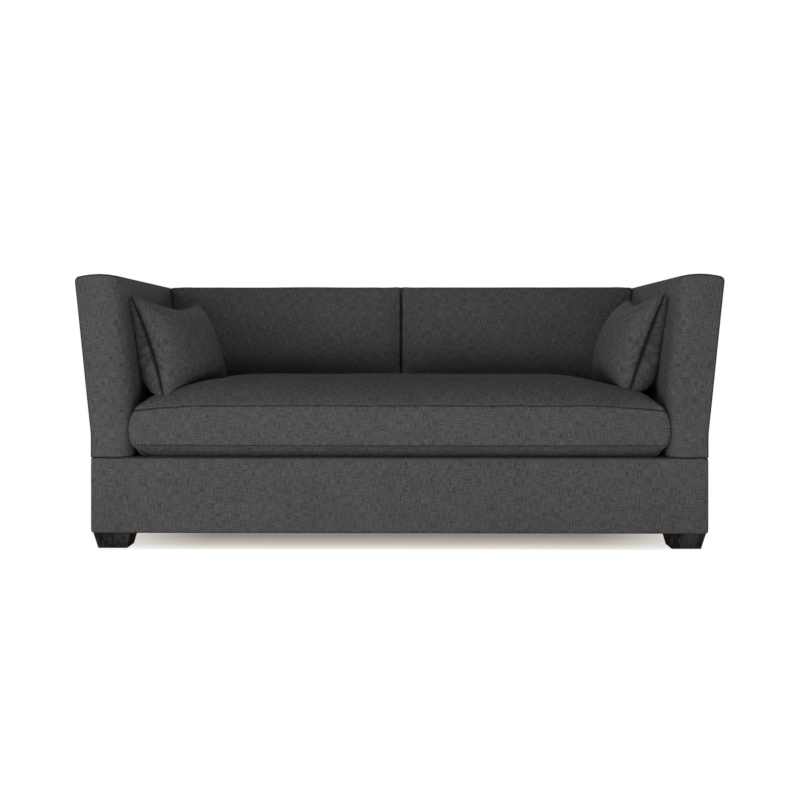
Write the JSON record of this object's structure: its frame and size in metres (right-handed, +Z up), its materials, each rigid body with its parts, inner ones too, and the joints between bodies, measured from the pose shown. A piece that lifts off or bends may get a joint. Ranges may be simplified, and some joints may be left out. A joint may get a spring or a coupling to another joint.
{
  "type": "loveseat",
  "caption": "Upholstered loveseat with outward-flared shelter arms at back height, one bench seat cushion, loose back cushions and throw pillows, on short tapered block feet.",
  "frame": {"origin": "on the floor under the middle of the sofa, at the bottom centre of its box", "axes": "+X to the right as seen from the front, +Y to the back, +Z up"},
  "size_m": [1.829, 0.95, 0.775],
  "materials": {
    "body_cover": "matte woven",
    "cushion_cover": "matte woven",
    "dark_wood": "satin stain",
    "frame_timber": "planed, unfinished",
    "zinc_steel": "zinc plated",
    "webbing": "woven elastic",
    "deck_cloth": "plain cloth on felt",
    "dust_cloth": "non-woven cloth",
    "foam": "soft foam and fibre"
  },
  "bodies": {
    "sofa": {"arm_cover_left": "body_cover", "arm_cover_right": "body_cover", "arm_front_post_left": "frame_timber", "arm_front_post_right": "frame_timber", "arm_lower_rail_left": "frame_timber", "arm_lower_rail_right": "frame_timber", "arm_rear_post_left": "frame_timber", "arm_rear_post_right": "frame_timber", "arm_top_rail_left": "frame_timber", "arm_top_rail_right": "frame_timber", "back_lower_rail": "frame_timber", "back_top_rail": "frame_timber", "back_uprights": "frame_timber", "back_webbing": "webbing", "base_front_panel": "body_cover", "base_rear_panel": "body_cover", "base_side_panel_left": "body_cover", "base_side_panel_right": "body_cover", "centre_stretcher": "frame_timber", "corner_blocks": "frame_timber", "dust_cover": "dust_cloth", "foot_bolts": "zinc_steel", "foot_front_left": "dark_wood", "foot_front_right": "dark_wood", "foot_plates": "zinc_steel", "foot_rear_left": "dark_wood", "foot_rear_right": "dark_wood", "front_rail": "frame_timber", "front_spring_rail": "frame_timber", "inside_back_panel": "body_cover", "outside_back_panel": "body_cover", "rear_rail": "frame_timber", "rear_spring_rail": "frame_timber", "seat_deck": "deck_cloth", "seat_springs": "zinc_steel", "side_rail_left": "frame_timber", "side_rail_right": "frame_timber", "spring_clips": "zinc_steel", "tie_wires": "zinc_steel"},
    "seat_cushion": {"seat_cushion": "cushion_cover", "seat_cushion_core": "foam"},
    "back_cushion_left": {"back_cushion_left": "cushion_cover", "back_cushion_core_left": "foam"},
    "back_cushion_right": {"back_cushion_right": "cushion_cover", "back_cushion_core_right": "foam"},
    "throw_pillow_left": {"throw_pillow_left": "cushion_cover", "throw_pillow_filling_left": "foam"},
    "throw_pillow_right": {"throw_pillow_right": "cushion_cover", "throw_pillow_filling_right": "foam"}
  },
  "joints": [
    {"name": "seat_cushion_slide", "type": "slide", "parent": "sofa", "child": "seat_cushion", "axis": [0, -1, 0], "range_m": [0, 0.3]},
    {"name": "back_cushion_left_lift", "type": "slide", "parent": "seat_cushion", "child": "back_cushion_left", "axis": [0, 0.1063, 0.9943], "range_m": [0, 0.25]},
    {"name": "back_cushion_right_lift", "type": "slide", "parent": "seat_cushion", "child": "back_cushion_right", "axis": [0, 0.1063, 0.9943], "range_m": [0, 0.25]},
    {"name": "throw_pillow_left_lift", "type": "slide", "parent": "seat_cushion", "child": "throw_pillow_left", "axis": [0, 0, 1], "range_m": [0, 0.3]},
    {"name": "throw_pillow_right_lift", "type": "slide", "parent": "seat_cushion", "child": "throw_pillow_right", "axis": [0, 0, 1], "range_m": [0, 0.3]}
  ]
}
